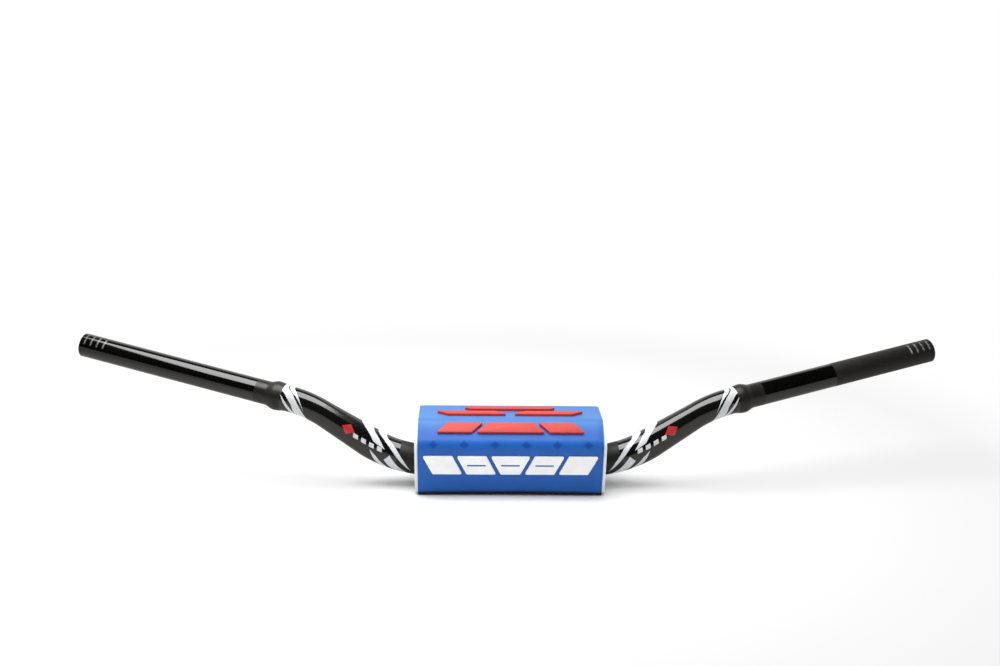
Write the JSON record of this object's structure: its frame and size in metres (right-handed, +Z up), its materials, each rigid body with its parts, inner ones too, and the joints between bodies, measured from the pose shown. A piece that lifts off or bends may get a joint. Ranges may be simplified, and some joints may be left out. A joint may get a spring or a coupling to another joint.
{
  "type": "motocross handlebar",
  "caption": "Tapered off-road motorcycle handlebar with swept-back grip ends and a foam crash pad wrapped round its straight clamping centre.",
  "frame": {"origin": "middle of the straight clamping length, on the axis of the tube; the pad's flat base is 24 mm below it", "axes": "+X along the bar, +Y towards the sweep of the grips (the pad's front face looks along -Y), +Z up"},
  "size_m": [0.8144, 0.1124, 0.1265],
  "materials": {
    "bar_tube": "gloss black lacquer over an anodised alloy tube, with matt collars and a knurled grip end",
    "foam": "white closed-cell foam",
    "cover": "satin blue moulded soft skin",
    "relief_white": "satin white raised moulding",
    "relief_red": "satin red raised moulding",
    "hook_and_loop": "black hook-and-loop tape"
  },
  "bodies": {
    "root": {"handlebar_tube": "bar_tube", "pad_core": "foam", "pad_cover": "cover", "hook_strip": "hook_and_loop", "loop_strip": "hook_and_loop", "front_block_left_end": "relief_white", "front_block_left": "relief_white", "front_block_middle": "relief_white", "front_block_right": "relief_white", "front_block_right_end": "relief_white", "bevel_bar_left": "relief_red", "bevel_bar_middle": "relief_red", "bevel_bar_right": "relief_red", "top_bar_left": "relief_red", "top_bar_right": "relief_red", "top_bar_rear": "relief_red"}
  },
  "joints": []
}
